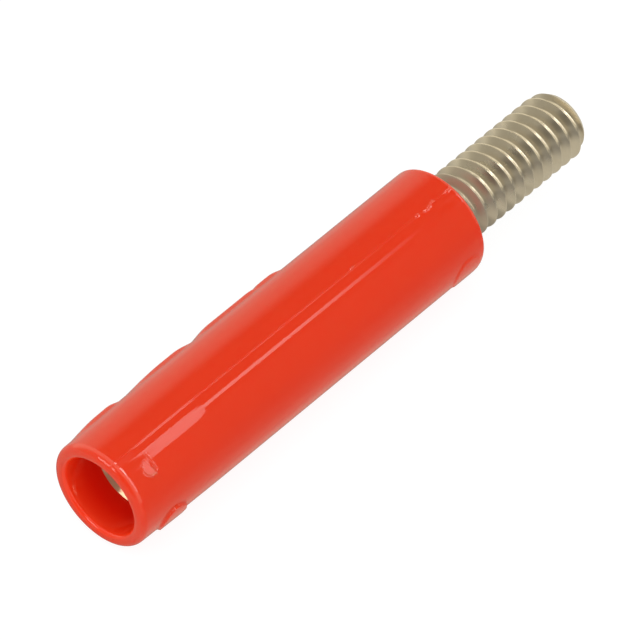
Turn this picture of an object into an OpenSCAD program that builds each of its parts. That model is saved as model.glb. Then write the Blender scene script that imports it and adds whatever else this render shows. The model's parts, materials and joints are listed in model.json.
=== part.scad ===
// Banana plug adapter: a moulded sleeve on one turned contact body, a 4 mm socket at
// one end and a threaded stud at the other. It lies on its side, its axis along X.

/* [Socket] */
// Bore of the socket, for a 4 mm plug
socket_bore = 4; // [3:0.1:5]
// Depth of the bore's straight wall, from the tube's rim
socket_depth = 19; // [12:0.5:20]
// Wall of the socket tube
tube_wall = 0.45; // [0.35:0.05:0.8]
// Lead-in chamfer inside the rim
bore_lead_in = 0.3; // [0.1:0.05:0.3]
// Chamfer outside the rim
rim_chamfer = 0.1; // [0.05:0.01:0.2]
// Angle of the drill point that ends the bore
drill_angle = 118; // [90:1:135]

/* [Sleeve] */
// Length of the moulded sleeve
sleeve_length = 28; // [26:0.1:36]
// Wall of the sleeve over the tube
sleeve_wall = 0.86; // [0.7:0.02:1.6]
// Radial clearance between tube and sleeve, zero for the press fit
sleeve_fit = 0; // [0:0.01:0.05]
// Depth of the tube's rim behind the sleeve's mouth
mouth_recess = 2.7; // [1.5:0.05:4]
// How much smaller the sleeve's radius is at the mouth
mouth_draw = 0.08; // [0:0.01:0.15]
// Length over which the sleeve narrows to the mouth
draw_length = 9; // [4:0.5:20]
// Rounding of the lip on the outside
lip_outside = 0.44; // [0.2:0.02:0.46]
// Rounding of the lip on the inside
lip_inside = 0.3; // [0.1:0.02:0.32]
// Rounding of the sleeve's edge at the stud end
end_rounding = 0.16; // [0.05:0.01:0.3]

/* [Mould marks] */
// Roll of the parting line from the top, towards the front
seam_roll = 17; // [-90:1:90]
// Width of the parting line's ridge
seam_width = 0.12; // [0.08:0.01:0.3]
// Height of the parting line's ridge
seam_height = 0.03; // [0.02:0.01:0.08]
// Start of each raised bar, from the mouth
bar_starts = [2, 6.4, 12, 16.4]; // [1:0.1:22]
// Length of each raised bar
bar_lengths = [2.2, 4, 3.9, 1.2]; // [1:0.1:4.4]
// Width of the raised bars, across the sleeve
bar_width = 3.1; // [1.5:0.1:4]
// Height of the raised bars
bar_height = 0.17; // [0.05:0.01:0.25]
// Rounding of the bars' corners
bar_corner = 0.3; // [0.1:0.05:0.5]
// Diameter of the two round ejector marks
disc_diameter = 2.3; // [1:0.1:3]
// Centre of the ejector mark near the mouth, from the mouth
near_disc_at = 2.75; // [2:0.05:8]
// Turn of that mark from the middle of its mould half, towards the underside
near_disc_turn = 8; // [0:1:15]
// Height of the ejector mark near the mouth
near_disc_height = 0.14; // [0.04:0.01:0.25]
// Gap between the far ejector mark and the sleeve's end
far_disc_gap = 0.15; // [0.1:0.05:5]
// Height of the far ejector mark
far_disc_height = 0.06; // [0.04:0.01:0.25]

/* [Stud] */
// Length of the stud, from the shoulder
stud_length = 10.35; // [6:0.05:20]
// Major diameter of the thread
thread_diameter = 4.14; // [3:0.01:4.6]
// Pitch of the thread
thread_pitch = 0.794; // [0.5:0.001:1]
// Depth of the thread
thread_depth = 0.46; // [0.3:0.01:0.48]
// Width of the flat on each crest
crest_flat = 0.1; // [0.06:0.01:0.12]
// Distance from the shoulder to the thread's first crest
first_crest = 0.74; // [0.6:0.01:1.4]
// Chamfer at the stud's end, along the radius
stud_chamfer = 0.36; // [0.1:0.02:0.5]
// Length of that chamfer along the axis
stud_chamfer_length = 0.5; // [0.2:0.05:0.8]
// Depth of the relief between shoulder and thread, below the crests
relief_depth = 0.5; // [0.3:0.01:0.6]
// How far the relief cuts back into the shoulder, so that a panel seats flat
relief_undercut = 0.1; // [0.02:0.01:0.2]
// Radial gap between the thread's crests and the shoulder's seat
seat_gap = 0.05; // [0.02:0.01:0.1]
// How far the shoulder stands proud of the sleeve
shoulder_proud = 0.1; // [0.05:0.01:0.5]

/* [Hidden] */
$fn = 96;

bore_r = socket_bore / 2;
tube_r = bore_r + tube_wall;
sleeve_bore_r = tube_r + sleeve_fit;
sleeve_r = sleeve_bore_r + sleeve_wall;
mouth_r = sleeve_r - mouth_draw;
thread_r = thread_diameter / 2;
root_r = thread_r - thread_depth;
relief_r = thread_r - relief_depth;

bore_end = mouth_recess + socket_depth;
drill_depth = bore_r / tan(drill_angle / 2);
shoulder_at = sleeve_length + shoulder_proud;
stud_end = shoulder_at + stud_length;
first_crest_at = shoulder_at + first_crest;
far_disc_at = sleeve_length - far_disc_gap - disc_diameter / 2;

// Each mould half's centre lies a quarter turn from the parting line
bar_roll = seam_roll - 90;
disc_roll = seam_roll + 90;

// A groove follows each crest whose next one still fits on the stud
flank_angle = 30;
groove_count = floor((stud_end - first_crest_at) / thread_pitch);

arc_steps = 6;
cut_margin = 1;

// Points of an arc in the half section, radius against distance from the mouth
function arc(centre, r, from, to) = [
    for (i = [0 : arc_steps])
        let (a = from + (to - from) * i / arc_steps)
            [centre[0] + r * cos(a), centre[1] + r * sin(a)]
];

// From the axis and the mouth as drawn to the part's own place, lying on the ground
module lay_down() {
    translate([-stud_end / 2, 0, sleeve_r]) rotate([0, 90, 0]) children();
}

// Turns what points along +X to a roll from the top, towards the front
module at_roll(roll) {
    rotate([0, 0, 180 + roll]) children();
}

// Stands a flat shape, drawn along the sleeve, out from the axis as a prism
module outwards(roll) {
    at_roll(roll + 180) rotate([0, -90, 0])
        linear_extrude(height = sleeve_r + cut_margin) children();
}

module sleeve_body() {
    rotate_extrude() polygon(concat(
        arc([sleeve_bore_r + lip_inside, lip_inside], lip_inside, 180, 270),
        arc([mouth_r - lip_outside, lip_outside], lip_outside, 270, 360),
        [[sleeve_r, draw_length]],
        arc([sleeve_r - end_rounding, sleeve_length - end_rounding], end_rounding, 0, 90),
        [[sleeve_bore_r, sleeve_length]]
    ));
}

// The sleeve's wall, raised by a height outside, to cut the raised marks from
module raised_skin(height) {
    root_r = mouth_r - lip_outside;
    rotate_extrude() polygon([
        [root_r, lip_outside],
        [mouth_r + height, lip_outside],
        [sleeve_r + height, draw_length],
        [sleeve_r + height, sleeve_length - end_rounding],
        [root_r, sleeve_length - end_rounding]
    ]);
}

module raised_bar(start, length) {
    inner_length = length - 2 * bar_corner;
    inner_width = bar_width - 2 * bar_corner;
    translate([start + length / 2, 0]) {
        square([inner_length, bar_width], center = true);
        square([length, inner_width], center = true);
        for (x = [-1, 1], y = [-1, 1])
            translate([x * inner_length / 2, y * inner_width / 2]) circle(r = bar_corner);
    }
}

module raised_bars() {
    intersection() {
        raised_skin(bar_height);
        outwards(bar_roll)
            for (i = [0 : len(bar_starts) - 1]) raised_bar(bar_starts[i], bar_lengths[i]);
    }
}

module ejector_mark(at, height, roll) {
    intersection() {
        raised_skin(height);
        outwards(roll) translate([at, 0]) circle(d = disc_diameter);
    }
}

module parting_line() {
    intersection() {
        raised_skin(seam_height);
        at_roll(seam_roll)
            translate([0, 0, sleeve_length / 2])
                cube([2 * (sleeve_r + cut_margin), seam_width, sleeve_length], center = true);
    }
}

module insulating_sleeve() {
    color([0.90, 0.23, 0.14]) lay_down() {
        sleeve_body();
        raised_bars();
        ejector_mark(near_disc_at, near_disc_height, disc_roll + near_disc_turn);
        ejector_mark(far_disc_at, far_disc_height, disc_roll);
        parting_line();
    }
}

// Half a crest's width at a depth below it, between the thread's flanks
function half_crest(depth) = crest_flat / 2 + depth * tan(flank_angle);

// The groove between two crests, as a ring round the axis
module ring_groove(crest_at) {
    next_at = crest_at + thread_pitch;
    rise = crest_flat / 4;
    rotate_extrude() polygon([
        [root_r, crest_at + half_crest(thread_depth)],
        [thread_r + rise, crest_at + half_crest(-rise)],
        [thread_r + rise, next_at - half_crest(-rise)],
        [root_r, next_at - half_crest(thread_depth)]
    ]);
}

module turned_blank() {
    rotate_extrude() polygon([
        [bore_r + bore_lead_in, mouth_recess],
        [tube_r - rim_chamfer, mouth_recess],
        [tube_r, mouth_recess + rim_chamfer],
        [tube_r, shoulder_at],
        [thread_r + seat_gap, shoulder_at],
        [relief_r, shoulder_at - relief_undercut],
        [relief_r, first_crest_at - half_crest(relief_depth)],
        [thread_r, first_crest_at - half_crest(0)],
        [thread_r, stud_end - stud_chamfer_length],
        [thread_r - stud_chamfer, stud_end],
        [0, stud_end],
        [0, bore_end + drill_depth],
        [bore_r, bore_end],
        [bore_r, mouth_recess + bore_lead_in]
    ]);
}

module contact_body() {
    color([0.72, 0.69, 0.61]) lay_down() difference() {
        turned_blank();
        for (i = [0 : groove_count - 1]) ring_groove(first_crest_at + thread_pitch * i);
    }
}

insulating_sleeve();
contact_body();
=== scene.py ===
"""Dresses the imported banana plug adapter: the moulded sleeve, the plated contact body and the studio.

Sizes are in millimetres. A place on the adapter is given by its distance along the axis from the
sleeve's mouth, its radius, and its roll in degrees round the axis, from the top towards the front.
"""
import json
import logging
import math
from dataclasses import dataclass, field
from enum import Enum
from typing import Callable, Iterable, Sequence

import bpy
from mathutils import Matrix, Vector


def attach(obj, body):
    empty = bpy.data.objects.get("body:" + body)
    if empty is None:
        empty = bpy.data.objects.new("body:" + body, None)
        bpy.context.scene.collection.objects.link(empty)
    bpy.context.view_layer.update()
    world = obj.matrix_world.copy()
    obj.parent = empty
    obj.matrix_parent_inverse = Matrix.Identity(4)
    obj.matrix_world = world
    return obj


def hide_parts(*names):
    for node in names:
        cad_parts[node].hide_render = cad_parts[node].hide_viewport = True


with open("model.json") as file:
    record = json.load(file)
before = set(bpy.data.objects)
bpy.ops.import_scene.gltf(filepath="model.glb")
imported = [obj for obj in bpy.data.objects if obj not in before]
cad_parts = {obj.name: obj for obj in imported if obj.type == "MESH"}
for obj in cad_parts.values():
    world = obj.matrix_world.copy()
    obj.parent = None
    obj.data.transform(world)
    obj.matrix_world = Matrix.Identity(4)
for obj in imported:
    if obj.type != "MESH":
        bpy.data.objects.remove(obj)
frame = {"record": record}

LOG = logging.getLogger("adapter")
MM = 0.001
FULL_TURN = 2 * math.pi
MERGE_DISTANCE = 1e-7
SLIVER = 1e-6
RING_TOLERANCE = 1e-4
INSIDE = "inside"
HANDLED_SKIN = "handled_skin"
BLOTCH_DETAIL = 4.0
WAVE_DETAIL = 2.0
WAVE_FINENESS = 3.0
WHITE = (1.0, 1.0, 1.0)

Corner = tuple[float, float]
Colour = tuple[float, float, float]
Place = tuple[float, float, float]
Feed = bpy.types.NodeSocket | float | Colour


def smooth_step(value: float) -> float:
    """Returns the value, held to 0 and 1, eased at both ends."""
    held = min(max(value, 0.0), 1.0)
    return held * held * (3 - 2 * held)


def metres(reach: Corner) -> Corner:
    """Turns a range of millimetres into metres."""
    return reach[0] * MM, reach[1] * MM


def arc(centre: Corner, radius: float, start: float, end: float, steps: int) -> list[Corner]:
    """Gives the points of an arc in the half section.

    Args:
        centre: The arc's centre, along the axis and out from it.
        radius: The arc's radius.
        start: Angle of the first point, in degrees from the direction of the stud.
        end: Angle of the last point.
        steps: Number of straight pieces.

    Returns:
        The points, from start to end.
    """
    angles = [math.radians(start + (end - start) * i / steps) for i in range(steps + 1)]
    return [(centre[0] + radius * math.cos(a), centre[1] + radius * math.sin(a)) for a in angles]


def spread(corners: Sequence[Corner], longest: float) -> list[Corner]:
    """Puts points between the corners of a section, so that none of its pieces is too long.

    Args:
        corners: The corners, in order.
        longest: The longest piece that is left whole.

    Returns:
        The corners with the points between them.
    """
    points = [corners[0]]
    for here, there in zip(corners, corners[1:]):
        pieces = max(1, math.ceil(math.dist(here, there) / longest))
        for i in range(1, pieces + 1):
            share = i / pieces
            points.append((here[0] + (there[0] - here[0]) * share, here[1] + (there[1] - here[1]) * share))
    return points


@dataclass(frozen=True)
class Axis:
    """The adapter's axis in the shared frame."""

    mouth_x: float
    height: float

    def place(self, along: float, radius: float, roll: float) -> Vector:
        """Gives a place on the adapter as a point of the scene, in metres."""
        turn = math.radians(roll)
        y, z = -radius * math.sin(turn), self.height + radius * math.cos(turn)
        return Vector((self.mouth_x + along, y, z)) * MM

    def read(self, point: Vector) -> Place:
        """Gives a point's distance from the mouth, its radius and its roll."""
        x, y, z = point.x / MM - self.mouth_x, point.y / MM, point.z / MM - self.height
        return x, math.hypot(y, z), math.degrees(math.atan2(-y, z))


@dataclass
class Lathe:
    """Turns half sections round the adapter's axis, in edit mode."""

    axis: Axis

    def draw(self, name: str, section: Sequence[Corner], roll: float, closed: bool) -> bpy.types.Object:
        """Draws a section as a wire, by extruding one vertex from corner to corner.

        Args:
            name: The new object's name.
            section: The corners, along the axis and out from it.
            roll: The roll at which the section is drawn.
            closed: Whether the last corner joins the first.

        Returns:
            The wire, in edit mode.
        """
        bpy.ops.mesh.primitive_plane_add(size=MM, location=self.axis.place(*section[0], roll))
        wire = bpy.context.object
        wire.name = name
        wire.data.name = name
        bpy.ops.object.mode_set(mode="EDIT")
        bpy.ops.mesh.select_mode(type="VERT")
        bpy.ops.mesh.select_all(action="SELECT")
        bpy.ops.mesh.merge(type="CENTER")
        path = list(section) + ([section[0]] if closed else [])
        for here, there in zip(path, path[1:]):
            step = self.axis.place(*there, roll) - self.axis.place(*here, roll)
            bpy.ops.mesh.extrude_vertices_move(TRANSFORM_OT_translate={"value": step})
        merge_doubles()
        return wire

    def turn(self, name: str, section: Sequence[Corner], roll: float, segments: int) -> bpy.types.Object:
        """Turns a section that is closed, or ends on the axis, into a shell.

        Args:
            name: The new object's name.
            section: The corners, along the axis and out from it.
            roll: The roll of the first segment.
            segments: Number of segments round the axis.

        Returns:
            The shell, in object mode.
        """
        on_axis = section[0][1] == 0 and section[-1][1] == 0
        shell = self.draw(name, section, roll, closed=not on_axis)
        bpy.ops.mesh.select_all(action="SELECT")
        bpy.ops.mesh.spin(
            steps=segments, angle=FULL_TURN, use_auto_merge=True,
            center=self.axis.place(0, 0, 0), axis=(1, 0, 0),
        )
        close_shell(shell)
        return shell


def pick(piece: bpy.types.Object) -> None:
    """Selects one piece alone, and makes it the active one."""
    bpy.ops.object.select_all(action="DESELECT")
    piece.select_set(True)
    bpy.context.view_layer.objects.active = piece


def merge_doubles(threshold: float = MERGE_DISTANCE) -> None:
    """Merges the vertices of an edited mesh that lie within a distance in metres."""
    bpy.ops.mesh.select_all(action="SELECT")
    bpy.ops.mesh.remove_doubles(threshold=threshold)


def close_shell(shell: bpy.types.Object) -> None:
    """Merges an edited mesh's seams and poles, turns its faces outwards and settles its place."""
    merge_doubles()
    bpy.ops.mesh.normals_make_consistent(inside=False)
    bpy.ops.object.mode_set(mode="OBJECT")
    pick(shell)
    bpy.ops.object.transform_apply(location=True, rotation=True, scale=True)


def apply_modifier(piece: bpy.types.Object, kind: str, **settings: object) -> None:
    """Adds a modifier to a piece, sets it and applies it.

    Args:
        piece: The piece that is changed.
        kind: Blender's type of the modifier.
        **settings: The modifier's own values.
    """
    modifier = piece.modifiers.new(kind.title(), kind)
    for name, value in settings.items():
        setattr(modifier, name, value)
    pick(piece)
    bpy.ops.object.modifier_apply(modifier=modifier.name)


class Joining(Enum):
    """How two pieces become one."""

    UNITED = "UNION"
    COMMON = "INTERSECT"


def combine(piece: bpy.types.Object, tool: bpy.types.Object, joining: Joining) -> None:
    """Makes one piece of two, and removes the second one.

    Args:
        piece: The piece that is kept.
        tool: The piece that is used up.
        joining: What is kept of the two.
    """
    apply_modifier(piece, "BOOLEAN", object=tool, operation=joining.value, solver="EXACT")
    mesh = tool.data
    bpy.data.objects.remove(tool)
    bpy.data.meshes.remove(mesh)


def smooth_by_angle(piece: bpy.types.Object, degrees: float) -> None:
    """Shades a piece smooth, apart from edges sharper than an angle in degrees."""
    pick(piece)
    bpy.ops.object.shade_smooth_by_angle(angle=math.radians(degrees))


class MarkForm(Enum):
    """Outline of a mark on the sleeve's skin; a pit and a facet are shaped like a drop."""

    BAR = "bar"
    DISC = "disc"
    RIDGE = "ridge"
    SPOT = "spot"
    PIT = "pit"
    FACET = "facet"


@dataclass(frozen=True)
class SkinMark:
    """One raised or sunk mark on the sleeve's skin.

    The edge is how far the mark takes to rise. Only a bar's ends are eased, and only a drop is tilted
    and skewed. A drop grows to its shoulder, a share of its width, and is rounded off past it.
    """

    form: MarkForm
    along: float
    roll: float
    length: float
    width: float
    height: float
    edge: float
    ease: Corner = (0.0, 0.0)
    tilt: Corner = (0.0, 0.0)
    skew: float = 0.0
    shoulder: float = 0.6
    fullness: float = 0.6

    def cover(self, along: float, roll: float, radius: float) -> float:
        """Gives how much of the mark's height a place on the skin takes.

        Args:
            along: Distance from the mouth.
            roll: Roll of the place.
            radius: The skin's radius there.

        Returns:
            A share from 0 to 1.
        """
        across = math.radians((roll - self.roll + 180) % 360 - 180) * radius
        dx, dy = abs(along - self.along), abs(across)
        if self.form in (MarkForm.PIT, MarkForm.FACET):
            share = min(max(across / self.width + 0.5, 0.0), 1.0)
            past_shoulder = max(share - self.shoulder, 0.0) / (1 - self.shoulder)
            wide = self.length * math.sqrt(min(2 * share, 1.0) * (1 - past_shoulder ** 2))
            from_side = self.along + self.skew * (share - 0.5) - along
            inside = min(from_side, wide - from_side, self.width / 2 - dy)
            rise = (along - self.along) * self.tilt[0] + across * self.tilt[1] + across ** 2 / (2 * radius)
            level = rise / self.height + 0.5 if self.form is MarkForm.FACET else 1.0
            return level * smooth_step(inside / self.edge)
        if self.form is MarkForm.BAR:
            from_start = along - self.along + self.length / 2
            rise = smooth_step(from_start / self.ease[0])
            fall = smooth_step((self.length - from_start) / self.ease[1])
            return (rise * fall) ** self.fullness * smooth_step((self.width / 2 - dy) / self.edge)
        if self.form in (MarkForm.DISC, MarkForm.SPOT):
            reach = 1 - math.hypot(dx / (self.length / 2), dy / (self.width / 2))
            inside = reach * min(self.length, self.width) / 2
        else:
            inside = min(self.length / 2 - dx, self.width / 2 - dy)
        return smooth_step(inside / self.edge)


class Sum(Enum):
    """Operation of a Math node."""

    ADD = "ADD"
    SUBTRACT = "SUBTRACT"
    MULTIPLY = "MULTIPLY"
    MAXIMUM = "MAXIMUM"
    ABSOLUTE = "ABSOLUTE"


@dataclass(frozen=True)
class NodeGraph:
    """Adds and joins the nodes of one node tree."""

    tree: bpy.types.NodeTree

    def add(self, kind: str) -> bpy.types.Node:
        """Adds a node of one of Blender's kinds."""
        return self.tree.nodes.new(kind)

    def feed(self, socket: bpy.types.NodeSocket, source: Feed) -> None:
        """Joins a socket to another one, or sets its constant value.

        Args:
            socket: The socket that is fed.
            source: The other socket, or the value; a colour has three numbers.
        """
        if isinstance(source, bpy.types.NodeSocket):
            self.tree.links.new(source, socket)
        elif socket.type == "RGBA":
            socket.default_value = (*source, 1)
        else:
            socket.default_value = source

    def maths(self, operation: Sum, *sources: Feed) -> bpy.types.NodeSocket:
        """Works out a value from one or two others."""
        node = self.add("ShaderNodeMath")
        node.operation = operation.value
        for socket, source in zip(node.inputs, sources):
            self.feed(socket, source)
        return node.outputs["Value"]

    def mix(self, kind: str, factor: Feed, first: Feed, second: Feed) -> bpy.types.NodeSocket:
        """Mixes two values or two colours.

        Args:
            kind: FLOAT or RGBA.
            factor: The second one's share.
            first: The first one.
            second: The second one.

        Returns:
            The mixture.
        """
        node = self.add("ShaderNodeMix")
        node.data_type = kind
        for name, source in (("Factor", factor), ("A", first), ("B", second)):
            self.feed(node.inputs[name], source)
        return node.outputs["Result"]

    def map_range(
        self, source: Feed, levels: Corner, reach: Corner = (0.0, 1.0), eased: bool = False,
    ) -> bpy.types.NodeSocket:
        """Maps a value from one range to another, and holds it to that.

        Args:
            source: The value.
            levels: What it becomes at the reach's start and end.
            reach: The range that it comes from.
            eased: Whether it changes gently at both ends.

        Returns:
            The mapped value.
        """
        node = self.add("ShaderNodeMapRange")
        node.interpolation_type = "SMOOTHSTEP" if eased else "LINEAR"
        for name, value in zip(("From Min", "From Max", "To Min", "To Max"), (*reach, *levels)):
            node.inputs[name].default_value = value
        self.feed(node.inputs["Value"], source)
        return node.outputs["Result"]

    def ramp(self, source: Feed, stops: Sequence[tuple[float, Colour]], easing: str) -> bpy.types.NodeSocket:
        """Colours a mask by a ramp.

        Args:
            source: The mask.
            stops: Place and colour of each stop.
            easing: How the colours change between the stops.

        Returns:
            The colour.
        """
        node = self.add("ShaderNodeValToRGB")
        node.color_ramp.interpolation = easing
        elements = node.color_ramp.elements
        for index, (place, colour) in enumerate(stops):
            stop = elements[index] if index < 2 else elements.new(place)
            stop.position = place
            stop.color = (*colour, 1)
        self.feed(node.inputs["Fac"], source)
        return node.outputs["Color"]

    def noise(self, place: Feed, scale: Feed, detail: float) -> bpy.types.NodeSocket:
        """Gives a cloudy mask."""
        node = self.add("ShaderNodeTexNoise")
        for name, source in (("Vector", place), ("Scale", scale), ("Detail", detail)):
            self.feed(node.inputs[name], source)
        return node.outputs["Fac"]

    def ripple(self, height: Feed, strength: float, depth: float) -> bpy.types.NodeSocket:
        """Gives the normal of a skin that is uneven by a depth in millimetres."""
        node = self.add("ShaderNodeBump")
        for name, source in (("Strength", strength), ("Distance", depth * MM), ("Height", height)):
            self.feed(node.inputs[name], source)
        return node.outputs["Normal"]

    def place(self, kind: str) -> bpy.types.NodeSocket:
        """Gives the place that is shaded, in one of Blender's kinds of coordinates."""
        return self.add("ShaderNodeTexCoord").outputs[kind]

    def split(self, vector: bpy.types.NodeSocket) -> bpy.types.NodeOutputs:
        """Gives a vector's parts, as sockets named X, Y and Z."""
        node = self.add("ShaderNodeSeparateXYZ")
        self.feed(node.inputs["Vector"], vector)
        return node.outputs

    def handled(self, scale: float, amount: float) -> tuple[bpy.types.NodeSocket, bpy.types.NodeSocket]:
        """Places the shared effect of handled skin.

        Args:
            scale: How fine its blotches are.
            amount: How strongly they show.

        Returns:
            The effect's mask and height.
        """
        node = self.add("ShaderNodeGroup")
        node.node_tree = handling_group()
        for name, source in (("Place", self.place("Object")), ("Scale", scale), ("Amount", amount)):
            self.feed(node.inputs[name], source)
        return node.outputs["Mask"], node.outputs["Height"]


def handling_group() -> bpy.types.NodeTree:
    """Gives the shared effect of faint blotches and waves that handled, moulded or plated skin has.

    Returns:
        A group that puts out a mask and a height.
    """
    if HANDLED_SKIN in bpy.data.node_groups:
        return bpy.data.node_groups[HANDLED_SKIN]
    group = bpy.data.node_groups.new(HANDLED_SKIN, "ShaderNodeTree")
    for socket, side, kind in (
        ("Place", "INPUT", "Vector"), ("Scale", "INPUT", "Float"), ("Amount", "INPUT", "Float"),
        ("Mask", "OUTPUT", "Float"), ("Height", "OUTPUT", "Float"),
    ):
        group.interface.new_socket(socket, in_out=side, socket_type=f"NodeSocket{kind}")
    graph = NodeGraph(group)
    entry, leave = graph.add("NodeGroupInput").outputs, graph.add("NodeGroupOutput").inputs
    blotches = graph.noise(entry["Place"], entry["Scale"], BLOTCH_DETAIL)
    graph.feed(leave["Mask"], graph.maths(Sum.MULTIPLY, blotches, entry["Amount"]))
    finer = graph.maths(Sum.MULTIPLY, entry["Scale"], WAVE_FINENESS)
    graph.feed(leave["Height"], graph.noise(entry["Place"], finer, WAVE_DETAIL))
    return group


def new_material(name: str) -> tuple[bpy.types.Material, NodeGraph, bpy.types.NodeInputs]:
    """Makes a material with a Principled shader.

    Args:
        name: The material's name.

    Returns:
        The material, its graph and the shader's sockets.
    """
    material = bpy.data.materials.new(name)
    material.use_nodes = True
    return material, NodeGraph(material.node_tree), material.node_tree.nodes["Principled BSDF"].inputs


def dress(piece: bpy.types.Object, material: bpy.types.Material) -> None:
    """Gives a piece one material, and no other."""
    piece.data.materials.clear()
    piece.data.materials.append(material)


@dataclass(frozen=True)
class GlossPlastic:
    """The sleeve's red moulded plastic; inside the mouth it has a deeper painted red and a painted glow,
    standing in for light inside the mouth.
    """

    name: str = "sleeve_red_gloss"
    colour: Colour = (0.80, 0.046, 0.013)
    blotch_shade: float = 0.88
    blotch_scale: float = 260.0
    blotch_amount: float = 0.5
    roughness: Corner = (0.021, 0.048)
    ripple_strength: float = 0.05
    ripple_depth: float = 0.02
    index_of_refraction: float = 1.5
    # Painted light inside the mouth: a deeper red, and an emission glow that changes with depth.
    painted_inside_red: Colour = (0.80, 0.015, 0.003)
    painted_wall_glow: tuple[tuple[float, Colour], ...] = (
        (0.0, (0.0, 0.0, 0.0)), (1.0, (0.06, 0.0, 0.0)),
        (0.15, (0.16, 0.012, 0.003)), (0.5, (0.11, 0.003, 0.0)),
    )
    glow_depth: float = 0.8
    glow_share: float = 0.5
    glow_reach: Colour = (1.0, 0.15, 0.06)

    def build(self) -> bpy.types.Material:
        """Builds the material.

        Returns:
            The new material.
        """
        material, graph, shader = new_material(self.name)
        mask, height = graph.handled(self.blotch_scale, self.blotch_amount)
        blotches = tuple(part * self.blotch_shade for part in self.colour)
        skin = graph.mix("RGBA", mask, self.colour, blotches)
        attribute = graph.add("ShaderNodeAttribute")
        attribute.attribute_name = INSIDE
        inside = attribute.outputs["Fac"]
        # Painted light: a deeper red and a glow inside the mouth, set by the inside attribute.
        graph.feed(shader["Base Color"], graph.mix("RGBA", inside, skin, self.painted_inside_red))
        graph.feed(shader["Emission Color"], graph.ramp(inside, self.painted_wall_glow, "LINEAR"))
        graph.feed(shader["Roughness"], graph.map_range(mask, self.roughness))
        graph.feed(shader["Normal"], graph.ripple(height, self.ripple_strength, self.ripple_depth))
        shader["Emission Strength"].default_value = 1.0
        shader["IOR"].default_value = self.index_of_refraction
        shader["Subsurface Weight"].default_value = self.glow_share
        shader["Subsurface Radius"].default_value = self.glow_reach
        shader["Subsurface Scale"].default_value = self.glow_depth * MM
        return material


@dataclass(frozen=True)
class NickelPlate:
    """The contact body's nickel plating over turned brass, with painted shade next to the sleeve, and worn
    smoother at the rim, where its brass colour also paints a warm reflection.
    """

    name: str = "contact_nickel_plate"
    colour: Colour = (0.68, 0.63, 0.53)
    tarnish: Colour = (0.53, 0.47, 0.36)
    blotch_scale: float = 900.0
    blotch_amount: float = 0.8
    roughness: Corner = (0.224, 0.392)
    ripple_strength: float = 0.2
    ripple_depth: float = 0.02
    # Painted shade: darker, less metallic plating next to the sleeve, dimming the red reflection there.
    painted_sleeve_shade: Colour = (0.40, 0.34, 0.25)
    painted_shade_metallic: float = 0.45
    painted_shade_reach: Corner = (11.4, 9.8)
    # At the rim: a bare brass colour that also paints a warm reflection of the red mouth.
    rim_brass_and_painted_reflection: Colour = (0.64, 0.42, 0.26)
    rim_smoothness: float = 0.3
    rim_reach: Corner = (-15.0, -5.0)

    def build(self) -> bpy.types.Material:
        """Builds the material.

        Returns:
            The new material.
        """
        material, graph, shader = new_material(self.name)
        mask, height = graph.handled(self.blotch_scale, self.blotch_amount)
        along = graph.split(graph.place("Object"))["X"]
        # Painted shade next to the sleeve: a darker colour and a lower metallic value.
        sleeve_shaded = graph.map_range(along, (0.0, 1.0), metres(self.painted_shade_reach))
        at_rim = graph.map_range(along, (1.0, 0.0), metres(self.rim_reach))
        plating = graph.mix("RGBA", mask, self.colour, self.tarnish)
        sleeve_shaded_plating = graph.mix("RGBA", sleeve_shaded, plating, self.painted_sleeve_shade)
        # At the rim the colour is partly bare brass and partly a painted warm reflection.
        graph.feed(shader["Base Color"], graph.mix("RGBA", at_rim, sleeve_shaded_plating, self.rim_brass_and_painted_reflection))
        rough = graph.map_range(mask, self.roughness)
        rubbed = graph.map_range(at_rim, (1.0, self.rim_smoothness))
        graph.feed(shader["Roughness"], graph.maths(Sum.MULTIPLY, rough, rubbed))
        graph.feed(shader["Metallic"], graph.map_range(sleeve_shaded, (1.0, self.painted_shade_metallic)))
        graph.feed(shader["Normal"], graph.ripple(height, self.ripple_strength, self.ripple_depth))
        return material


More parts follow.
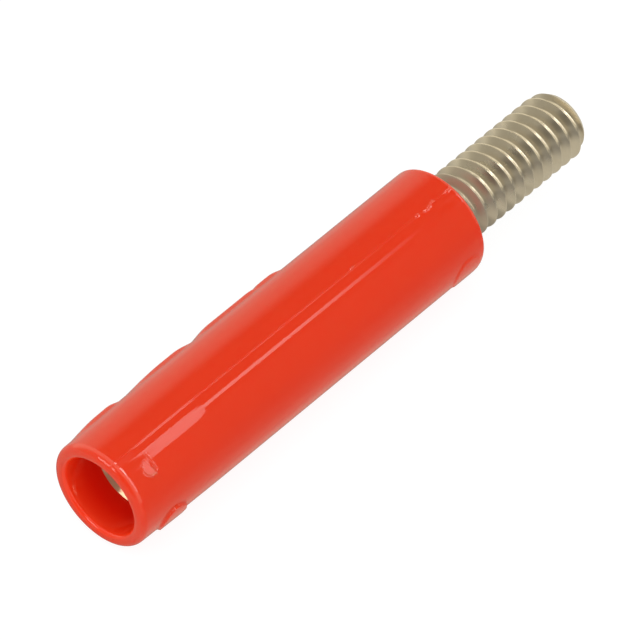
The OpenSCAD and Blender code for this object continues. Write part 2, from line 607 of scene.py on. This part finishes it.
@dataclass
class MouldedSleeve:
    """The insulating sleeve, with its rounded mouth, draft, parting line and raised marks."""

    length: float = 28.0
    wall: float = 0.86
    bore_radius: float = 2.45
    mouth_draw: float = 0.08
    draw_length: float = 6.8
    draw_kink: float = 0.05
    lip_outside: float = 0.44
    lip_inside: float = 0.3
    end_rounding: float = 0.11
    seam_roll: float = 17.0
    bars: tuple[tuple[float, float, float, float], ...] = (
        (1.0, 4.8, 2.2, 0.8), (5.5, 10.6, 3.0, 1.2), (10.9, 16.5, 1.4, 1.2), (15.5, 18.0, 0.9, 0.9),
    )
    bar_width: float = 3.1
    bar_height: float = 0.17
    discs: tuple[tuple[float, float, float, float], ...] = ((2.64, 8.0, 2.12, 0.14), (26.7, 0.0, 2.3, 0.06))
    disc_edge: float = 0.08
    bar_edge: float = 0.45
    seam_ridge: Corner = (0.22, 0.03)
    flash_width: float = 0.16
    flash: tuple[tuple[float, float, float, float], ...] = (
        (19.6, 0.0, 0.22, 0.05), (25.0, 0.3, 0.2, 0.05), (25.7, 1.2, 0.26, 0.08), (25.95, 0.6, 0.2, 0.07),
        (26.3, -0.8, 0.22, 0.06), (27.5, 0.0, 0.5, 0.06),
    )
    burr: tuple[SkinMark, ...] = (
        SkinMark(MarkForm.PIT, 1.98, 41.8, 0.66, 1.1, -0.07, 0.05, skew=0.16),
        SkinMark(MarkForm.FACET, 1.98, 41.8, 0.66, 1.1, 0.22, 0.05, tilt=(-0.012, 0.17), skew=0.16),
        SkinMark(MarkForm.RIDGE, 2.15, 38.5, 0.14, 1.1, -0.035, 0.07),
    )
    lean: float = 0.2
    lean_roll: float = 33.5
    lean_reach: Corner = (1.0, 4.0)
    segments: int = 240
    ring_pitch: float = 0.1
    inner_lip_steps: int = 8
    outer_lip_steps: int = 12
    end_steps: int = 5
    mouth_depth: float = 3.0
    mouth_pitch: float = 0.3
    seam_net: float = 1.3
    seam_cuts: int = 2
    burr_cuts: int = 3
    smooth_angle: float = 50.0
    # Depth over which the painted glow inside the mouth changes.
    painted_glow_run: float = 1.8
    marks: list[SkinMark] = field(default_factory=list)

    @property
    def radius(self) -> float:
        """Radius of the sleeve past its draft."""
        return self.bore_radius + self.wall

    @property
    def skin_floor(self) -> float:
        """Radius past which a place belongs to the skin outside."""
        return self.radius - self.mouth_draw - self.lip_outside

    def drafted_radius(self, inwards: float) -> float:
        """Gives the skin's radius at a distance from the draft's start towards the mouth."""
        share = inwards / (self.draw_length - self.lip_outside)
        return self.radius - self.draw_kink * share - (self.mouth_draw - self.draw_kink) * share ** 2

    def section(self) -> list[Corner]:
        """Gives the wall's half section as a closed loop, from inside the mouth round to the bore."""
        inner, outer = self.lip_inside, self.lip_outside
        lip = arc((inner, self.bore_radius + inner), inner, 270, 180, self.inner_lip_steps)
        lip += arc((outer, self.radius - self.mouth_draw - outer), outer, 180, 90, self.outer_lip_steps)
        end_centre = (self.length - self.end_rounding, self.radius - self.end_rounding)
        draft = spread([(self.draw_length - self.lip_outside, 0), (0, 0)], self.ring_pitch)
        skin = [(self.draw_length - u, self.drafted_radius(u)) for u, _ in draft]
        skin += spread([skin[-1], (end_centre[0], self.radius)], self.ring_pitch)[1:]
        end = arc(end_centre, self.end_rounding, 90, 0, self.end_steps)
        back = spread([end[-1], (self.length, self.bore_radius)], self.wall / 2)
        inner_end = (self.mouth_depth, self.bore_radius)
        bore = spread([back[-1], inner_end], self.mouth_depth)
        bore += spread([inner_end, lip[0]], self.mouth_pitch)
        loop = lip + skin[1:] + end[1:] + back[1:] + bore[1:]
        return loop[:-1]

    def plan_marks(self) -> None:
        """Lists the raised marks: bars on one mould half, ejector marks on the other, the parting line."""
        for start, end, rise, fall in self.bars:
            self.marks.append(SkinMark(
                MarkForm.BAR, (start + end) / 2, self.seam_roll - 90, end - start, self.bar_width,
                self.bar_height, self.bar_edge, ease=(rise, fall),
            ))
        for along, turn, diameter, height in self.discs:
            self.marks.append(SkinMark(
                MarkForm.DISC, along, self.seam_roll + 90 + turn, diameter, diameter, height, self.disc_edge,
            ))
        width, height = self.seam_ridge
        seam_length = self.length - 2 * self.end_rounding
        for roll in (self.seam_roll, self.seam_roll + 180):
            self.marks.append(
                SkinMark(MarkForm.RIDGE, self.length / 2, roll, seam_length, width, height, width / 2)
            )
        for along, turn, size, height in self.flash:
            self.marks.append(SkinMark(
                MarkForm.SPOT, along, self.seam_roll + turn, size, self.flash_width, height,
                self.flash_width / 2,
            ))
        self.marks.extend(self.burr)

    def near_seam(self, ends: Sequence[Place]) -> bool:
        """Tells whether an edge with these ends goes round the axis beside a parting line."""
        reach = 360 / self.segments * self.seam_net
        straight = abs(ends[0][0] - ends[1][0]) < RING_TOLERANCE
        return straight and all(abs((end[2] - self.seam_roll + 90) % 180 - 90) < reach for end in ends)

    def near_burr(self, ends: Sequence[Place]) -> bool:
        """Tells whether an edge with these ends lies under the burr."""
        pit = self.burr[0]
        away = [(end[0] - pit.along, math.radians(end[2] - pit.roll) * self.radius) for end in ends]
        return all(math.hypot(*offset) < pit.width for offset in away)

    def refine(
        self, shell: bpy.types.Object, axis: Axis, near: Callable[[Sequence[Place]], bool], cuts: int,
    ) -> None:
        """Divides the skin's edges where a mark needs a finer net.

        Args:
            shell: The sleeve's shell.
            axis: The adapter's axis.
            near: Tells by its two ends whether an edge is divided.
            cuts: Number of cuts in each edge.
        """
        bpy.ops.object.mode_set(mode="EDIT")
        bpy.ops.mesh.select_all(action="DESELECT")
        bpy.ops.mesh.select_mode(type="EDGE")
        bpy.ops.object.mode_set(mode="OBJECT")
        places = [axis.read(v.co) for v in shell.data.vertices]
        for edge in shell.data.edges:
            ends = [places[i] for i in edge.vertices]
            edge.select = min(end[1] for end in ends) > self.skin_floor and near(ends)
        bpy.ops.object.mode_set(mode="EDIT")
        bpy.ops.mesh.subdivide(number_cuts=cuts)
        bpy.ops.object.mode_set(mode="OBJECT")

    def raise_marks(self, shell: bpy.types.Object, axis: Axis) -> None:
        """Raises the marks from the skin, with one weighted displacement for each height."""
        places = [axis.read(v.co) for v in shell.data.vertices]
        for height in sorted({mark.height for mark in self.marks}):
            group = shell.vertex_groups.new(name=f"mark_{height:g}")
            level = [mark for mark in self.marks if mark.height == height]
            for index, (along, radius, roll) in enumerate(places):
                if radius < self.skin_floor:
                    continue
                weight = max(mark.cover(along, roll, radius) for mark in level)
                if weight > 0:
                    group.add([index], weight, "REPLACE")
            apply_modifier(
                shell, "DISPLACE", strength=height * MM, mid_level=0.0, direction="NORMAL",
                vertex_group=group.name,
            )

    def lean_mouth(self, shell: bpy.types.Object, axis: Axis) -> None:
        """Sets the mouth's far side back a little, as the moulding's mouth isn't quite square."""
        group = shell.vertex_groups.new(name="lean")
        rigid, end = self.lean_reach
        for vertex in shell.data.vertices:
            along, _, roll = axis.read(vertex.co)
            side = (1 - math.cos(math.radians(roll - self.lean_roll))) / 2
            weight = side * smooth_step((end - along) / (end - rigid))
            if weight > 0:
                group.add([vertex.index], weight, "REPLACE")
        apply_modifier(
            shell, "DISPLACE", strength=self.lean * MM, mid_level=0.0, direction="X",
            vertex_group=group.name,
        )

    def mark_inside(self, shell: bpy.types.Object, axis: Axis) -> None:
        """Stores how deep each place inside the mouth lies, for the plastic's painted glow and deeper
        painted red.
        """
        inside = shell.data.attributes.new(INSIDE, "FLOAT", "POINT")
        inner_radius = self.bore_radius + self.lip_inside / 2
        for vertex, value in zip(shell.data.vertices, inside.data):
            along, radius, _ = axis.read(vertex.co)
            value.value = min(max(along / self.painted_glow_run, 0.0), 1.0) if radius < inner_radius else 0.0

    def build(self, axis: Axis) -> bpy.types.Object:
        """Builds the sleeve.

        Args:
            axis: The adapter's axis.

        Returns:
            The finished mesh.
        """
        shell = Lathe(axis).turn("sleeve_moulding", self.section(), self.seam_roll, self.segments)
        self.plan_marks()
        self.refine(shell, axis, self.near_seam, self.seam_cuts)
        self.refine(shell, axis, self.near_burr, self.burr_cuts)
        self.raise_marks(shell, axis)
        self.lean_mouth(shell, axis)
        smooth_by_angle(shell, self.smooth_angle)
        self.mark_inside(shell, axis)
        return shell

    def dress(self, shell: bpy.types.Object) -> None:
        """Gives the sleeve its finish and its place in the frame."""
        dress(shell, GlossPlastic().build())
        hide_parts("insulating_sleeve")
        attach(shell, "root")


@dataclass
class ContactBody:
    """The turned contact: the socket's tube and bore, the shoulder and the threaded stud."""

    bore_radius: float = 2.0
    tube_radius: float = 2.45
    rim_at: float = 2.7
    bore_depth: float = 19.0
    bore_lead_in: float = 0.3
    rim_chamfer: float = 0.1
    drill_angle: float = 118.0
    shoulder_at: float = 28.1
    stud_end: float = 38.45
    thread_radius: float = 2.07
    first_crest: float = 0.74
    relief_depth: float = 0.5
    relief_undercut: float = 0.1
    seat_gap: float = 0.05
    end_chamfer: Corner = (0.5, 0.36)
    pitch: float = 0.794
    thread_depth: float = 0.46
    crest_flat: float = 0.09
    root_flat: float = 0.17
    flank_angle: float = 30.0
    crest_at: float = 29.63
    crest_roll: float = 33.5
    envelope_sunk: float = 0.08
    crest_softness: float = 0.02
    root_rise: tuple[Corner, ...] = ((0.25, 0.006), (0.45, 0.028))
    flank_foot: float = 0.06
    lead_turns: float = 1.5
    spare_turns: int = 2
    trim_spare: Corner = (0.3, 0.4)
    bore_pitch: float = 2.0
    smooth_angle: float = 28.0
    segments: int = 96

    @property
    def relief_radius(self) -> float:
        """Radius of the groove between the shoulder and the thread."""
        return self.thread_radius - self.relief_depth

    def socket_section(self) -> list[Corner]:
        """Gives the half section of the socket, the solid middle and the relief, from the axis round."""
        bore_end = self.rim_at + self.bore_depth
        drill_depth = self.bore_radius / math.tan(math.radians(self.drill_angle / 2))
        wall = [(bore_end, self.bore_radius), (self.rim_at + self.bore_lead_in, self.bore_radius)]
        return [
            (bore_end + drill_depth, 0),
            *spread(wall, self.bore_pitch),
            (self.rim_at, self.bore_radius + self.bore_lead_in),
            (self.rim_at, self.tube_radius - self.rim_chamfer),
            (self.rim_at + self.rim_chamfer, self.tube_radius),
            (self.shoulder_at, self.tube_radius),
            (self.shoulder_at, self.thread_radius + self.seat_gap),
            (self.shoulder_at - self.relief_undercut, self.relief_radius),
            (self.shoulder_at + self.first_crest + self.pitch, self.relief_radius),
            (self.shoulder_at + self.first_crest + self.pitch, 0),
        ]

    def envelope_section(self) -> list[Corner]:
        """Gives the outline that the thread is cut to: a cone from the relief, and the end's chamfer."""
        run = math.tan(math.radians(self.flank_angle))
        full = self.shoulder_at + self.first_crest - self.crest_flat / 2
        start = full - run * (self.relief_depth + self.envelope_sunk)
        length, depth = self.end_chamfer
        return [
            (start, 0),
            (start, self.relief_radius - self.envelope_sunk),
            (full, self.thread_radius),
            (self.stud_end - length, self.thread_radius),
            (self.stud_end, self.thread_radius - depth),
            (self.stud_end, 0),
        ]

    def turn_section(self, start: float) -> list[Corner]:
        """Gives one turn of the thread's outline, from the middle of a root to the next."""
        root = self.thread_radius - self.thread_depth
        half, crest, soft = self.pitch / 2, self.crest_flat / 2, self.crest_softness
        run = math.tan(math.radians(self.flank_angle))
        rise = [
            (0.0, 0.0),
            *((self.root_flat * share, height) for share, height in self.root_rise),
            (half - crest - run * (self.thread_depth - self.flank_foot), self.flank_foot),
            (half - crest - run * soft, self.thread_depth - soft),
            (half - crest + soft, self.thread_depth),
            (half, self.thread_depth),
        ]
        fall = [(self.pitch - x, y) for x, y in reversed(rise[:-1])]
        return [(start + x, root + y) for x, y in rise + fall]

    def thread(self, axis: Axis) -> bpy.types.Object:
        """Cuts the right-hand thread, as a helix that is trimmed to the stud's own outline.

        Args:
            axis: The adapter's axis.

        Returns:
            The threaded rod.
        """
        first = self.crest_at - self.pitch * (self.crest_roll / 360 + 0.5)
        while first > self.shoulder_at - self.lead_turns * self.pitch:
            first -= self.pitch
        turns = math.ceil((self.stud_end - first) / self.pitch) + self.spare_turns
        lathe = Lathe(axis)
        rod = lathe.draw("contact_turning", self.turn_section(first), 0, closed=False)
        bpy.ops.object.mode_set(mode="OBJECT")
        bpy.context.scene.cursor.location = axis.place(0, 0, 0)
        pick(rod)
        bpy.ops.object.origin_set(type="ORIGIN_CURSOR")
        apply_modifier(
            rod, "SCREW", axis="X", angle=FULL_TURN, screw_offset=self.pitch * MM, iterations=turns,
            steps=self.segments, render_steps=self.segments, use_smooth_shade=False,
        )
        bpy.ops.object.mode_set(mode="EDIT")
        merge_doubles()
        below, above = self.trim_spare
        for along, side in ((self.shoulder_at - below, -1), (self.stud_end + above, 1)):
            bpy.ops.mesh.select_all(action="SELECT")
            bpy.ops.mesh.bisect(
                plane_co=axis.place(along, 0, 0), plane_no=(side, 0, 0), use_fill=True, clear_outer=True,
                threshold=MERGE_DISTANCE,
            )
        close_shell(rod)
        envelope = lathe.turn("thread_envelope", self.envelope_section(), 0, self.segments)
        combine(rod, envelope, Joining.COMMON)
        return rod

    def build(self, axis: Axis) -> bpy.types.Object:
        """Builds the contact body.

        Args:
            axis: The adapter's axis.

        Returns:
            The finished mesh.
        """
        rod = self.thread(axis)
        socket = Lathe(axis).turn("contact_socket", self.socket_section(), 0, self.segments)
        combine(rod, socket, Joining.UNITED)
        bpy.ops.object.mode_set(mode="EDIT")
        merge_doubles(SLIVER)
        bpy.ops.mesh.dissolve_degenerate(threshold=SLIVER)
        close_shell(rod)
        smooth_by_angle(rod, self.smooth_angle)
        return rod

    def dress(self, body: bpy.types.Object) -> None:
        """Gives the contact its finish and its place in the frame."""
        dress(body, NickelPlate().build())
        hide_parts("contact_body")
        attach(body, "root")


@dataclass(frozen=True)
class Lamp:
    """A soft rectangular lamp that faces the adapter; its sides are shares of its distance."""

    name: str
    from_axis: float
    roll: float
    distance: float
    size: Corner
    radiance: float


@dataclass(frozen=True)
class Card:
    """A glowing card with soft ends, for reflections; near and far are angles from the stud's way."""

    name: str
    near: float
    far: float
    roll: float
    spread: float
    radiance: float
    fade: Corner
    colour: Colour = (1.0, 0.97, 0.92)
    distance: float = 400.0
    aim_along: float = 18.0


@dataclass
class Studio:
    """White floor, pale surroundings, a soft lamp, cards for the reflections and the photograph's view."""

    azimuth: float = -49.4
    elevation: float = 44.47
    aim_along: float = 18.0
    view_shift: Corner = (0.081, -0.1)
    distance: float = 485.0
    lens: float = 506.8
    sensor: float = 36.0
    clip_start: float = 0.01
    floor_half: float = 700.0
    floor_colour: Colour = (0.16, 0.16, 0.16)
    floor_roughness: float = 0.9
    floor_glow: float = 0.9
    floor_pool: tuple[Corner, ...] = (
        (-20, 0.05), (-13, 0.14), (-8, 0.27), (-4.4, 0.5), (-3.3, 0.58), (-2, 0.3), (6.8, 0.15),
        (10, 0.35), (14, 0.48), (20, 0.58),
    )
    stud_pool: float = 0.6
    stud_pool_from: Corner = (11.0, 15.0)
    stud_pool_aside: Corner = (7.0, 16.0)
    mouth_pool: float = 0.45
    mouth_pool_to: Corner = (-20.5, -18.5)
    fill: float = 0.86
    bounce: float = 0.6
    fill_tilt: float = 0.2
    mirror_colour: Colour = (1.0, 0.93, 0.75)
    mirror_base: float = 0.12
    mirror_front: float = 0.12
    front_reach: Corner = (-0.35, -0.6)
    mirror_back: float = 0.7
    back_reach: Corner = (0.45, 0.75)
    band_middle: float = 0.519
    band_half: Corner = (0.07, 0.085)
    past_band: Corner = (0.47, 1.55)
    past_reach: Corner = (-0.5, -0.1)
    dark_side: Place = (-0.707, -0.5, 0.5)
    dark_reach: Corner = (0.85, 0.95)
    dark_depth: float = 0.65
    lamps: tuple[Lamp, ...] = (
        Lamp("key_softbox", 105, 30, 600, (1.1, 1.56), 0.6),
    )
    cards: tuple[Card, ...] = (
        Card("streak_strip", 60.9, 55.2, 25.5, 6.0, 3.4, (0.001, 0.6)),
        Card("streak_panel", 62.4, 60.5, 28.5, 22.0, 2.8, (0.001, 0.001)),
        Card("seam_panel", 69.0, 62.6, 9.0, 14.0, 0.35, (0.5, 0.001)),
        Card("stud_strip", 54.9, 49.0, 26.0, 22.0, 5.0, (0.1, 0.3)),
        Card("rim_glint", 153.0, 131.0, -14.0, 50.0, 4.2, (0.2, 0.2), (1.0, 0.93, 0.86), 30.0, 2.7),
        Card("stud_panel", 84.0, 64.0, 52.0, 36.0, 4.0, (0.3, 0.1)),
        Card("stud_gleam", 63.4, 75.0, 24.0, 20.0, 10.0, (0.05, 0.3)),
    )

    def by_ray(self, graph: NodeGraph, mirror: Feed, other: Feed, camera: float) -> bpy.types.NodeSocket:
        """Chooses a level by the kind of ray that asks for it.

        Args:
            graph: The graph of the floor or the world.
            mirror: Level for reflected and transmitted rays.
            other: Level for the light on the adapter.
            camera: Level for the camera.

        Returns:
            The level.
        """
        path = graph.add("ShaderNodeLightPath").outputs
        clear = graph.maths(Sum.MAXIMUM, path["Is Glossy Ray"], path["Is Transmission Ray"])
        level = graph.mix("FLOAT", clear, other, mirror)
        return graph.mix("FLOAT", path["Is Camera Ray"], level, camera)

    def tone(self, graph: NodeGraph) -> bpy.types.NodeSocket:
        """Gives the surroundings' colour: warm in reflections, else white."""
        return graph.mix("RGBA", self.by_ray(graph, 1.0, 0.0, 0.0), WHITE, self.mirror_colour)

    def pool(self, graph: NodeGraph) -> bpy.types.NodeSocket:
        """Gives the floor's glow in reflections.

        Args:
            graph: The floor's graph.

        Returns:
            The glow: a pool across the floor, with a spot under the stud and one before the mouth.
        """
        place = graph.split(graph.place("Object"))
        reach = self.floor_pool[-1][0] * MM
        across = graph.map_range(place["Y"], (0.0, 1.0), (-reach, reach))
        stops = [
            ((side * MM + reach) / (2 * reach), (level, level, level)) for side, level in self.floor_pool
        ]
        from_stud = metres(self.stud_pool_from)
        under_stud = graph.map_range(place["X"], (0.0, self.stud_pool), from_stud, eased=True)
        aside = graph.maths(Sum.ABSOLUTE, place["Y"])
        beside_stud = graph.map_range(aside, (1.0, 0.0), metres(self.stud_pool_aside), eased=True)
        to_mouth = metres(self.mouth_pool_to)
        at_mouth = graph.map_range(place["X"], (self.mouth_pool, 0.0), to_mouth, eased=True)
        spot = graph.maths(Sum.MULTIPLY, under_stud, beside_stud)
        brighter = graph.maths(Sum.MAXIMUM, graph.ramp(across, stops, "EASE"), spot)
        return graph.maths(Sum.MAXIMUM, brighter, at_mouth)

    def floor(self) -> None:
        """Lays the white floor, which keeps the shadow and shows as a pool of light in reflections."""
        bpy.ops.mesh.primitive_plane_add(size=2 * self.floor_half * MM, location=(0, 0, 0))
        floor = bpy.context.object
        floor.name = "studio_floor"
        material, graph, shader = new_material("studio_white")
        graph.feed(shader["Base Color"], self.floor_colour)
        shader["Roughness"].default_value = self.floor_roughness
        shader["Specular IOR Level"].default_value = 0.0
        graph.feed(shader["Emission Color"], self.tone(graph))
        glow = self.by_ray(graph, self.pool(graph), self.bounce, self.floor_glow)
        graph.feed(shader["Emission Strength"], glow)
        dress(floor, material)

    def mirrored(self, graph: NodeGraph, way: bpy.types.NodeSocket) -> bpy.types.NodeSocket:
        """Gives how bright the surroundings are in reflections.

        Args:
            graph: The world's graph.
            way: The direction that is looked at.

        Returns:
            The level: low in the band that the sleeve's skin reflects, lit from the front and the back
            there, high past it, and dimmed on the dark side.
        """
        side = graph.split(way)
        front = graph.map_range(side["Y"], (0.0, self.mirror_front), self.front_reach, eased=True)
        back = graph.map_range(side["Y"], (0.0, self.mirror_back), self.back_reach, eased=True)
        within = graph.maths(Sum.ADD, back, graph.maths(Sum.ADD, front, self.mirror_base))
        past = graph.map_range(side["X"], self.past_band, self.past_reach)
        off_middle = graph.maths(Sum.ABSOLUTE, graph.maths(Sum.SUBTRACT, side["X"], self.band_middle))
        outside = graph.map_range(off_middle, (0.0, 1.0), self.band_half, eased=True)
        facing = graph.add("ShaderNodeVectorMath")
        facing.operation = "DOT_PRODUCT"
        graph.feed(facing.inputs[0], way)
        graph.feed(facing.inputs[1], self.dark_side)
        levels = (1.0, 1.0 - self.dark_depth)
        shade = graph.map_range(facing.outputs["Value"], levels, self.dark_reach, eased=True)
        return graph.maths(Sum.MULTIPLY, graph.mix("FLOAT", outside, within, past), shade)

    def surroundings(self) -> None:
        """Sets the world: white for the camera, plain grey for light, uneven in reflections."""
        world = bpy.data.worlds.new("studio_surroundings")
        bpy.context.scene.world = world
        world.use_nodes = True
        graph, background = NodeGraph(world.node_tree), world.node_tree.nodes["Background"].inputs
        graph.feed(background["Color"], self.tone(graph))
        way = graph.place("Generated")
        levels = (self.fill + self.fill_tilt, self.fill - self.fill_tilt)
        fill = graph.map_range(graph.split(way)["X"], levels, (-1.0, 1.0))
        graph.feed(background["Strength"], self.by_ray(graph, self.mirrored(graph, way), fill, 1.0))

    def facing(self, from_axis: float, roll: float, distance: float, aim: Vector) -> Matrix:
        """Gives the place of a lamp or card that faces the adapter.

        Args:
            from_axis: Angle between its direction and the stud's, in degrees.
            roll: Its roll round the axis, in degrees.
            distance: Its distance in millimetres.
            aim: The point that it faces, in metres.

        Returns:
            A matrix with x along the axis' plane, y across it and z away from the adapter.
        """
        lean, turn = math.radians(from_axis), math.radians(roll)
        way = Vector((math.cos(lean), -math.sin(lean) * math.sin(turn), math.sin(lean) * math.cos(turn)))
        along = Vector((-math.sin(lean), -math.cos(lean) * math.sin(turn), math.cos(lean) * math.cos(turn)))
        return basis(along, way.cross(along), way, aim + way * distance * MM)

    def add_lamp(self, lamp: Lamp, aim: Vector) -> None:
        """Hangs one lamp that faces the aim."""
        light = bpy.data.lights.new(lamp.name, "AREA")
        light.shape = "RECTANGLE"
        light.size, light.size_y = (side * lamp.distance * MM for side in lamp.size)
        light.energy = lamp.radiance * math.pi * light.size * light.size_y
        holder = bpy.data.objects.new(lamp.name, light)
        bpy.context.scene.collection.objects.link(holder)
        holder.matrix_world = self.facing(lamp.from_axis, lamp.roll, lamp.distance, aim)
        holder.visible_glossy = False

    def add_card(self, card: Card, axis: Axis) -> None:
        """Hangs one card that only reflections see.

        Args:
            card: The card's values.
            axis: The adapter's axis.
        """
        middle = (card.near + card.far) / 2
        length = 2 * card.distance * math.tan(math.radians(abs(card.near - card.far) / 2))
        width = 2 * card.distance * math.tan(math.radians(card.spread / 2)) * math.sin(math.radians(middle))
        bpy.ops.mesh.primitive_plane_add(size=1)
        panel = bpy.context.object
        panel.name = card.name
        place = self.facing(middle, card.roll, card.distance, axis.place(card.aim_along, 0, 0))
        panel.matrix_world = place @ Matrix.Diagonal((length * MM, width * MM, 1, 1))
        material, graph, _ = new_material(card.name)
        tree = material.node_tree
        tree.nodes.remove(tree.nodes["Principled BSDF"])
        glow = graph.add("ShaderNodeEmission")
        along = graph.split(graph.place("UV"))["X"]
        near_end = graph.map_range(along, (0.0, 1.0), (1.0, 1.0 - card.fade[0]), eased=True)
        far_end = graph.map_range(along, (0.0, 1.0), (0.0, card.fade[1]), eased=True)
        ends = graph.maths(Sum.MULTIPLY, near_end, far_end)
        graph.feed(glow.inputs["Color"], card.colour)
        graph.feed(glow.inputs["Strength"], graph.maths(Sum.MULTIPLY, ends, card.radiance))
        graph.feed(tree.nodes["Material Output"].inputs["Surface"], glow.outputs["Emission"])
        dress(panel, material)
        panel.visible_camera = panel.visible_diffuse = panel.visible_shadow = False

    def camera(self, axis: Axis) -> None:
        """Sets the photograph's view."""
        turn, lift = math.radians(self.azimuth), math.radians(self.elevation)
        level = math.cos(lift)
        forward = Vector((-math.sin(turn) * level, math.cos(turn) * level, -math.sin(lift)))
        right = forward.cross(Vector((0, 0, 1))).normalized()
        up = right.cross(forward)
        data = bpy.data.cameras.new("photo_view")
        data.lens = self.lens
        data.sensor_width = self.sensor
        data.clip_start = self.clip_start
        camera = bpy.data.objects.new("photo_view", data)
        bpy.context.scene.collection.objects.link(camera)
        aside = (right * self.view_shift[0] + up * self.view_shift[1]) * MM
        camera.location = axis.place(self.aim_along, 0, 0) - forward * self.distance * MM + aside
        camera.rotation_euler = forward.to_track_quat("-Z", "Y").to_euler()
        bpy.context.scene.camera = camera

    def build(self, axis: Axis) -> None:
        """Builds the floor, the surroundings, the lamps, the cards and the camera."""
        bpy.context.scene.view_settings.view_transform = "Standard"
        aim = axis.place(self.aim_along, 0, 0)
        self.floor()
        self.surroundings()
        for lamp in self.lamps:
            self.add_lamp(lamp, aim)
        for card in self.cards:
            self.add_card(card, axis)
        self.camera(axis)


def basis(x: Vector, y: Vector, z: Vector, origin: Vector) -> Matrix:
    """Makes the matrix that has these axes and this origin."""
    rows = [(*row, o) for row, o in zip(zip(x, y, z), origin)]
    return Matrix([*rows, (0, 0, 0, 1)])


def find_axis(record: dict, contact: ContactBody) -> Axis:
    """Works out the adapter's axis from the record's socket.

    Args:
        record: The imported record.
        contact: The contact's sizes.

    Returns:
        The axis in the shared frame.
    """
    socket = next(mount for mount in record["mounts"] if mount["name"] == "socket")
    centre, length = socket["pos_m"], socket["dims"]["length_mm"]
    mouth_x = centre[0] / MM - length / 2 - contact.bore_lead_in - contact.rim_at
    return Axis(mouth_x=mouth_x, height=centre[2] / MM)


def main() -> None:
    """Builds, dresses and reports every piece."""
    logging.basicConfig(level=logging.INFO, format="%(name)s: %(message)s")
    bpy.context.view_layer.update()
    sleeve, contact = MouldedSleeve(), ContactBody()
    axis = find_axis(frame["record"], contact)
    for part in (sleeve, contact):
        piece = part.build(axis)
        part.dress(piece)
        LOG.info("%s: %d faces", piece.name, len(piece.data.polygons))
    Studio().build(axis)


if __name__ == "__main__":
    main()
